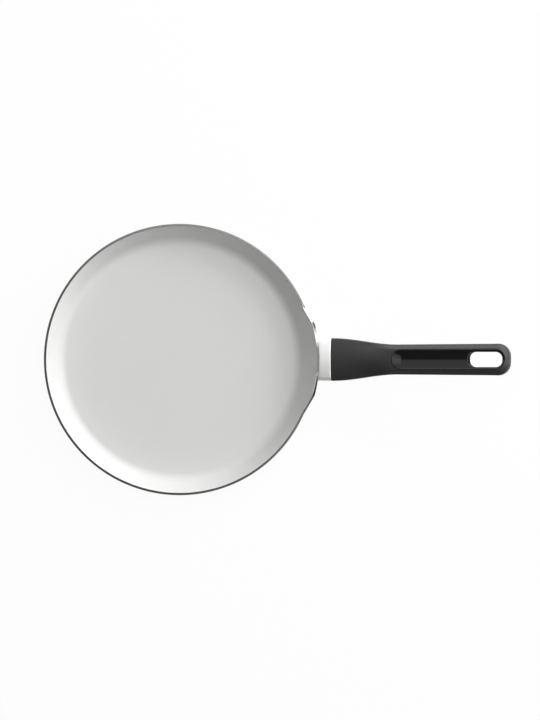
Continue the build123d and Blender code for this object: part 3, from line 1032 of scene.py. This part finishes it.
def grip_outline(sizes):
    """The grip from above: points along one side, round the end and back, with inward directions."""
    front = sizes.ferrule_length
    end = front + sizes.grip_length
    corner = sizes.end_corner
    half = sizes.end_width / 2
    bow = (half ** 2 + sizes.end_crown ** 2) / (2 * sizes.end_crown)
    bow_centre = end - bow
    corner_x = bow_centre + math.sqrt((bow - corner) ** 2 - (half - corner) ** 2)
    turn_off = math.atan2(half - corner, corner_x - bow_centre)
    side = []
    steps = 110
    for step in range(steps):
        x = front + (corner_x - front) * step / steps
        side.append((Vector((x, -grip_measures(sizes, x)[0])), Vector((0.0, 1.0)), x))
    centre = Vector((corner_x, corner - half))
    for point in arc_points(centre, corner, -math.pi / 2, -turn_off, 20):
        side.append((point, (centre - point).normalized(), corner_x))
    middle = Vector((bow_centre, 0.0))
    for point in arc_points(middle, bow, -turn_off, 0.0, 6)[1:]:
        side.append((point, (middle - point).normalized(), corner_x))
    back = [(Vector((p.x, -p.y)), Vector((n.x, -n.y)), x) for p, n, x in side[:-1]]
    return side + back[::-1]


def grip_column(sizes, point, inwards, spine_x):
    """Points from the middle of the underside, round the side and to the middle of the top."""
    x = min(point.x, sizes.ferrule_length + sizes.grip_length)
    half, flat, top, bottom, crown, bevel = grip_measures(sizes, x)
    spine = Vector((spine_x, 0.0))
    under = sizes.under_width
    past = 2.2 * mm
    bevel_width = half - flat
    inner = bevel_width + past
    crown_there = top - crown * (1 - past / flat) ** 2
    section = [
        Vector((under + past, -bottom)),
        Vector((under, -bottom)),
        Vector((0.0, sizes.under_height - bottom)),
        Vector((0.0, top - crown - bevel)),
        Vector((bevel_width, top - crown)),
        Vector((inner, crown_there)),
    ]
    radius = sizes.edge_rounding
    softer = 3.5 * mm
    flared = 4 * (half - sizes.waist_width / 2) / (sizes.front_width - sizes.waist_width)
    shoulder = radius + softer * min(1.0, flared)
    radii = (0, 2 * radius, 2 * radius, radius, shoulder, 0)
    ring = [section[0]]
    for place in range(1, 5):
        ring += rounded_corner(section[place - 1], section[place], section[place + 1], radii[place], 5)
    ring.append(section[5])
    column = []
    first = point + inwards * (under + past)
    for step in range(5):
        spot = spine.lerp(first, step / 5)
        column.append(Vector((spot.x, spot.y, -bottom)))
    for inset, height in ring:
        spot = point + inwards * inset
        column.append(Vector((spot.x, spot.y, height)))
    last = point + inwards * inner
    remaining = 1 - past / flat
    for step in range(1, 11):
        spot = last.lerp(spine, step / 10)
        share = remaining * (1 - step / 10)
        column.append(Vector((spot.x, spot.y, top - crown * share ** 2)))
    return column


def drawn_in(sizes, column, step, steps):
    """A front column pulled in to round off the edge of the front face."""
    angle = math.pi / 2 * step / steps
    radius = sizes.front_rounding
    shrink = radius * (1 - math.sin(angle))
    half = sizes.front_width / 2
    moved = []
    for p in column:
        moved.append(Vector((sizes.ferrule_length + radius * (1 - math.cos(angle)),
                             p.y * (1 - shrink / half), p.z * (1 - shrink / sizes.front_top))))
    return moved


def make_grip_blank(sizes, name):
    """The grip before anything is let into it."""
    outline = grip_outline(sizes)
    columns = [grip_column(sizes, *spot) for spot in outline]
    steps = 5
    first = [drawn_in(sizes, columns[0], step, steps) for step in range(steps + 1)]
    last = [drawn_in(sizes, columns[-1], step, steps) for step in range(steps, -1, -1)]
    columns = first + columns[1:-1] + last
    rows = len(columns[0])
    vertices = [column[row] for row in range(rows) for column in columns]
    count = len(columns)
    faces = grid_faces(count, rows, False)
    front_face = [row * count for row in range(rows)]
    front_face += [row * count + count - 1 for row in range(rows - 1, -1, -1)]
    faces.append(tuple(front_face))
    piece = mesh_piece(name, vertices, faces)
    weld(piece)
    return outward(piece)


def weld(piece):
    """Merge points that lie on each other."""
    made = bmesh.new()
    made.from_mesh(piece.data)
    bmesh.ops.remove_doubles(made, verts=made.verts, dist=MERGED)
    bmesh.ops.dissolve_degenerate(made, edges=made.edges, dist=1e-7)
    made.to_mesh(piece.data)
    made.free()


def inlay_places(sizes):
    """Ends and middles of the inlay and the slot along the handle."""
    end = sizes.ferrule_length + sizes.grip_length - sizes.inlay_margin
    slot_end = end - sizes.slot_margin
    return end, end - sizes.inlay_length / 2, slot_end - sizes.slot_length / 2


def eyelet_block(name, sizes, grown_by):
    _, _, middle = inlay_places(sizes)
    more = 2 * grown_by
    outline = rectangle(
        middle, sizes.slot_length + more, sizes.slot_width + more, sizes.slot_corner + grown_by
    )
    return prism(name, outline, -CLEAR, CLEAR)


def pocket_block(name, sizes, gap):
    _, middle, _ = inlay_places(sizes)
    floor = sizes.rear_top - sizes.rear_crown - sizes.trough_depth - sizes.inlay_floor
    outline = rectangle(
        middle, sizes.inlay_length + 2 * gap, sizes.inlay_width + 2 * gap, sizes.inlay_corner + gap
    )
    return prism(name, outline, floor, CLEAR)


def screw_well(name, sizes):
    """Round recess for the screw's head, in the front wall of the slot."""
    _, _, middle = inlay_places(sizes)
    place = handle_place(sizes).inverted()
    front = (place @ Vector((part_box("flat_washer")[0].x, 0.0, 0.0))).x
    ring = arc_points((0.0, -sizes.screw_drop), sizes.well_radius, 0.0, 2 * math.pi, 48)[:-1]
    behind = 2 * mm
    loops = [[Vector((x, p.x, p.y)) for p in ring] for x in (front - behind, middle)]
    return outward(loops_piece(name, loops))


def make_grip(sizes):
    grip = make_grip_blank(sizes, "grip")
    combined(grip, pocket_block("pocket", sizes, sizes.inlay_gap), "DIFFERENCE")
    combined(grip, eyelet_block("eyelet_hole", sizes, sizes.eyelet_wall + sizes.inlay_gap), "DIFFERENCE")
    combined(grip, screw_well("grip_well", sizes), "DIFFERENCE")
    set_in_place(grip, sizes, finish("grip_plastic"))
    return smoothed(grip, 30)


# Inlay

def trough_tool(sizes):
    """The hollow of the trough: a round channel that runs out in a scoop at its front."""
    end, middle, _ = inlay_places(sizes)
    floor = sizes.rear_top - sizes.rear_crown - sizes.trough_depth
    half = sizes.inlay_width / 2 - sizes.inlay_lip
    bow = (half ** 2 + sizes.trough_depth ** 2) / (2 * sizes.trough_depth)
    start = end - sizes.inlay_length + sizes.inlay_lip
    wide = half + 1.5 * mm
    scoop_softness = 0.06
    columns = 61
    fine = 48
    coarse = 20
    lines = [start - 1 * mm + 12 * mm * step / fine for step in range(fine + 1)]
    rest = end + 2 * mm - lines[-1]
    lines += [lines[-1] + rest * (step + 1) / coarse for step in range(coarse)]
    vertices = []
    for x in lines:
        for column in range(columns):
            y = wide * (2 * column / (columns - 1) - 1)
            hollow = sizes.trough_depth - (bow - math.sqrt(bow ** 2 - y ** 2))
            ramp = 1 - blended(0.0, 1 - (x - start) / sizes.scoop_length, scoop_softness)
            vertices.append(Vector((x, y, floor + sizes.trough_depth - hollow * ramp)))
    count = len(vertices)
    vertices += [Vector((v.x, v.y, CLEAR)) for v in vertices]
    rows = len(lines)
    faces = grid_faces(columns, rows, False)
    faces += [tuple(corner + count for corner in reversed(face)) for face in grid_faces(columns, rows, False)]
    border = list(range(columns)) + [row * columns + columns - 1 for row in range(1, rows)]
    border += [(rows - 1) * columns + column for column in range(columns - 2, -1, -1)]
    border += [row * columns for row in range(rows - 2, 0, -1)]
    for here, there in zip(border, border[1:] + border[:1]):
        faces.append((here, there, there + count, here + count))
    tool = outward(mesh_piece("trough", vertices, faces))
    lip = sizes.inlay_lip
    outline = rectangle(
        middle + lip, sizes.inlay_length, sizes.inlay_width - 2 * lip, sizes.inlay_corner - lip, 32
    )
    return combined(tool, prism("trough_outline", outline, -20 * mm, 29 * mm), "INTERSECT")


def blended(first, second, soft):
    """The higher of two heights, with a soft change between them."""
    overlap = max(soft - abs(first - second), 0.0) / soft
    return max(first, second) + overlap ** 3 * soft / 6


def make_inlay(sizes):
    inlay = pocket_block("grip_trough", sizes, 0.0)
    combined(inlay, eyelet_block("lining", sizes, sizes.eyelet_wall), "UNION")
    combined(inlay, make_grip_blank(sizes, "skin"), "INTERSECT")
    combined(inlay, trough_tool(sizes), "DIFFERENCE")
    combined(inlay, eyelet_block("slot_hole", sizes, 0.0), "DIFFERENCE")
    combined(inlay, screw_well("inlay_well", sizes), "DIFFERENCE")
    inlay.data.materials.clear()
    inlay.data.materials.append(finish("inlay_plastic"))
    inlay.data.materials.append(finish("lining_plastic"))
    lined_from = inlay_places(sizes)[2] - sizes.slot_length / 2 - 2 * mm
    for face in inlay.data.polygons:
        upright = abs(face.normal.z) < 0.3
        face.material_index = int(upright and face.center.x > lined_from)
    inlay.data.transform(handle_place(sizes))
    return smoothed(inlay, 30)


# Stage

def floor_finish(sheet, shade):
    """Pale floor that the camera sees as white, with the object's shadow left on it faintly."""
    rays = sheet.node("ShaderNodeLightPath")
    seen = Value(sheet, rays.outputs["Is Camera Ray"])
    glossy = Value(sheet, rays.outputs["Is Glossy Ray"])
    passed = Value(sheet, rays.outputs["Is Transmission Ray"])
    place = sheet.place()
    cloud = sheet.noise(place, 3.0, 2.0)
    matt = sheet.surface(Base_Color=sheet.tinted(shade, cloud, 0.98, 1.0), Roughness=0.9)
    glow = sheet.value("ShaderNodeEmission", None, {"Color": (1.0, 1.0, 1.0, 1.0), "Strength": 1.0})
    direct = (seen + glossy + passed).maths("MINIMUM", 1.0)
    laid = sheet.value("ShaderNodeMixShader", None, {0: direct * 0.96, 1: matt, 2: glow})
    under = sheet.value("ShaderNodeNewGeometry", output="Backfacing")
    clear = sheet.value("ShaderNodeBsdfTransparent")
    return sheet.value("ShaderNodeMixShader", None, {0: under, 1: laid, 2: clear})


def make_floor():
    """A wide round sheet just clear of the pan, with nothing to see from below."""
    drop = -0.2 * mm
    radii = (0.4, 1.5, 6.0, 40.0)
    columns = 96
    vertices = []
    for radius in radii:
        ring = arc_points((0.0, 0.0), radius, 0.0, 2 * math.pi, columns)[:-1]
        vertices += [Vector((p.x, p.y, drop)) for p in ring]
    faces = [face[::-1] for face in grid_faces(columns, len(radii), True)]
    vertices.append(Vector((0.0, 0.0, drop)))
    faces += [(c, (c + 1) % columns, len(vertices) - 1) for c in range(columns)]
    floor = mesh_piece("floor", vertices, faces)
    floor.data.materials.append(new_material("floor", floor_finish, (0.86, 0.86, 0.86, 1.0)))
    return floor


def make_world():
    """Studio: white for the camera, and in reflections a dome with two bright parts, a low side
    that is bright towards the key lamp, and two dark gaps in that side."""
    world = bpy.data.worlds.new("studio")
    bpy.context.scene.world = world
    world.use_nodes = True
    world.node_tree.nodes.clear()
    sheet = Sheet(world.node_tree)
    rays = sheet.node("ShaderNodeLightPath")
    seen = Value(sheet, rays.outputs["Is Camera Ray"])
    glossy = Value(sheet, rays.outputs["Is Glossy Ray"])
    direction = sheet.value("ShaderNodeTexCoord", output="Generated")
    x, y, z = sheet.along(direction)
    handle_top = 0.41
    over_key = eased((y + (x + handle_top) * 0.85) / 0.16 + 0.2) * eased((0.45 - x) / 0.3)
    past_end = eased((x + 0.1) / 0.9) * (0.25 + 0.75 * eased((y + 0.25) / 0.3))
    dome = 0.3 + over_key * 1.25 + past_end * 5.8
    towards_key = eased(x * 0.6 + y * 0.75 + 0.25)
    past_handle = eased((y * 0.99 - x * 0.14) / 0.14 + 0.5)
    side_light = 0.25 + past_handle * towards_key * 6.0
    for tangent, width in ((0.53, 0.49), (-0.5, 0.46)):
        gap = eased((1.0 - abs(y - x * tangent) / width) * 2.0) * (x > 0.0)
        side_light = side_light * (1.0 - gap * 0.97)
    low = eased((0.50 - z) / 0.2)
    studio = dome * (1.0 - low) + side_light * low
    ambient = 0.06
    level = seen + (1.0 - seen) * (glossy * studio + (1.0 - glossy) * ambient)
    white = (1.0, 1.0, 1.0, 1.0)
    backdrop = sheet.value("ShaderNodeBackground", None, {"Color": white, "Strength": level})
    sheet.node("ShaderNodeOutputWorld", None, {"Surface": backdrop})


def make_lamp(name, azimuth, elevation, power):
    """A square soft lamp aimed at the pan; angles in degrees from +X and above the floor."""
    distance = 1.6
    lamp = bpy.data.lights.new(name, "AREA")
    lamp.shape = "SQUARE"
    lamp.size = 0.8
    lamp.energy = power
    piece = new_object(name, lamp)
    a = math.radians(azimuth)
    e = math.radians(elevation)
    away = Vector((math.cos(a) * math.cos(e), math.sin(a) * math.cos(e), math.sin(e)))
    piece.location = away * distance
    piece.visible_glossy = False
    piece.rotation_mode = "QUATERNION"
    piece.rotation_quaternion = away.to_track_quat("Z", "Y")
    return piece


def make_camera():
    """Straight down on the pan from far above, framed as the photograph is."""
    middle = Vector((86.6 * mm, -0.45 * mm))
    seen_height = 689.3 * mm
    distance = 8.0
    rim_height = 22 * mm
    camera = bpy.data.cameras.new("camera")
    camera.sensor_width = 36.0
    camera.lens = camera.sensor_width * distance / seen_height
    camera.clip_start = 0.1
    camera.clip_end = 200.0
    piece = new_object("camera", camera)
    piece.location = (middle.x, middle.y, distance + rim_height)
    bpy.context.scene.camera = piece
    return piece


# Operators, one for each piece or group of like pieces

class CREPE_OT_stage(bpy.types.Operator):
    """Lay the floor, the studio's lamps and background, and the camera"""

    bl_idname = "crepe.stage"
    bl_label = "Stage"

    def execute(self, context):
        make_floor()
        make_world()
        make_lamp("key", 40, 12, 25.0)
        make_lamp("side", 0, 35, 5.8)
        make_lamp("back", 55, 35, 6.9)
        make_lamp("top", 60, 75, 10.4)
        make_camera()
        context.scene.view_settings.view_transform = "Standard"
        return {"FINISHED"}


class CREPE_OT_pan(bpy.types.Operator):
    """Make the pressed pan with its lug"""

    bl_idname = "crepe.pan"
    bl_label = "Pan"

    def execute(self, context):
        fitted(make_pan(context.scene.crepe_pan), "pan_aluminium", "pan_body")
        return {"FINISHED"}


class CREPE_OT_base(bpy.types.Operator):
    """Make the perforated disc in the base and the metal that fills its holes"""

    bl_idname = "crepe.base"
    bl_label = "Base disc"

    def execute(self, context):
        inputs = disc_inputs(context.scene.crepe_pan)
        disc = smoothed(grown("base_disc", disc_tree(), inputs), 30)
        fitted(disc, "disc_steel", "induction_disc")
        plugs = smoothed(grown("base_plugs", plug_tree(), inputs), 60)
        fitted(plugs, "pan_aluminium")
        return {"FINISHED"}


class CREPE_OT_ferrule(bpy.types.Operator):
    """Make the steel sleeve between the pan and the grip"""

    bl_idname = "crepe.ferrule"
    bl_label = "Ferrule"

    def execute(self, context):
        piece = make_ferrule(context.scene.crepe_pan, context.scene.crepe_handle)
        fitted(piece, "ferrule_steel", "ferrule")
        return {"FINISHED"}


class CREPE_OT_grip(bpy.types.Operator):
    """Make the moulded grip"""

    bl_idname = "crepe.grip"
    bl_label = "Grip"

    def execute(self, context):
        fitted(make_grip(context.scene.crepe_handle), "grip_plastic", "handle_grip")
        return {"FINISHED"}


class CREPE_OT_inlay(bpy.types.Operator):
    """Make the gloss trough and the lining of the hanging slot"""

    bl_idname = "crepe.inlay"
    bl_label = "Inlay"

    def execute(self, context):
        fitted(make_inlay(context.scene.crepe_handle), "inlay_plastic", "grip_inlay")
        return {"FINISHED"}


class CREPE_OT_fasteners(bpy.types.Operator):
    """Finish the bracket and the fasteners that hold the handle"""

    bl_idname = "crepe.fasteners"
    bl_label = "Bracket and fasteners"

    def execute(self, context):
        plated = ("stud_washers", "handle_bracket", "bracket_nut", "handle_screw", "lock_washer",
                  "flat_washer")
        for name in plated:
            repaint(frame["nodes"][name], finish("zinc_plating"))
        repaint(frame["nodes"]["weld_studs"], finish("bare_studs"))
        return {"FINISHED"}


def repaint(node, material):
    """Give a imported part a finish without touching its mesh."""
    for slot in node.material_slots:
        slot.material = material
    if not node.material_slots:
        raise RuntimeError(node.name + " has no material slot")


class CREPE_PT_panel(bpy.types.Panel):
    """Sizes, colours and steps of the crepe pan"""

    bl_label = "Crepe pan"
    bl_idname = "CREPE_PT_panel"
    bl_space_type = "VIEW_3D"
    bl_region_type = "UI"
    bl_category = "Crepe pan"

    def draw(self, context):
        for group in ("crepe_pan", "crepe_handle", "crepe_finishes"):
            settings = getattr(context.scene, group)
            for name in settings.bl_rna.properties.keys():
                if name not in ("rna_type", "name"):
                    self.layout.prop(settings, name)
        for step in steps:
            self.layout.operator(step.bl_idname)


settings_groups = {"crepe_pan": PanSizes, "crepe_handle": HandleSizes, "crepe_finishes": Finishes}
steps = (CREPE_OT_stage, CREPE_OT_pan, CREPE_OT_base, CREPE_OT_ferrule, CREPE_OT_grip, CREPE_OT_inlay,
         CREPE_OT_fasteners)


def register():
    for group in (*settings_groups.values(), *steps, CREPE_PT_panel):
        bpy.utils.register_class(group)
    for name, group in settings_groups.items():
        setattr(bpy.types.Scene, name, PointerProperty(type=group))


def unregister():
    for name in settings_groups:
        delattr(bpy.types.Scene, name)
    for group in (CREPE_PT_panel, *reversed(steps), *settings_groups.values()):
        bpy.utils.unregister_class(group)


def main():
    register()
    bpy.ops.crepe.stage()
    bpy.ops.crepe.pan()
    bpy.ops.crepe.base()
    bpy.ops.crepe.ferrule()
    bpy.ops.crepe.grip()
    bpy.ops.crepe.inlay()
    bpy.ops.crepe.fasteners()


if __name__ == "__main__":
    main()
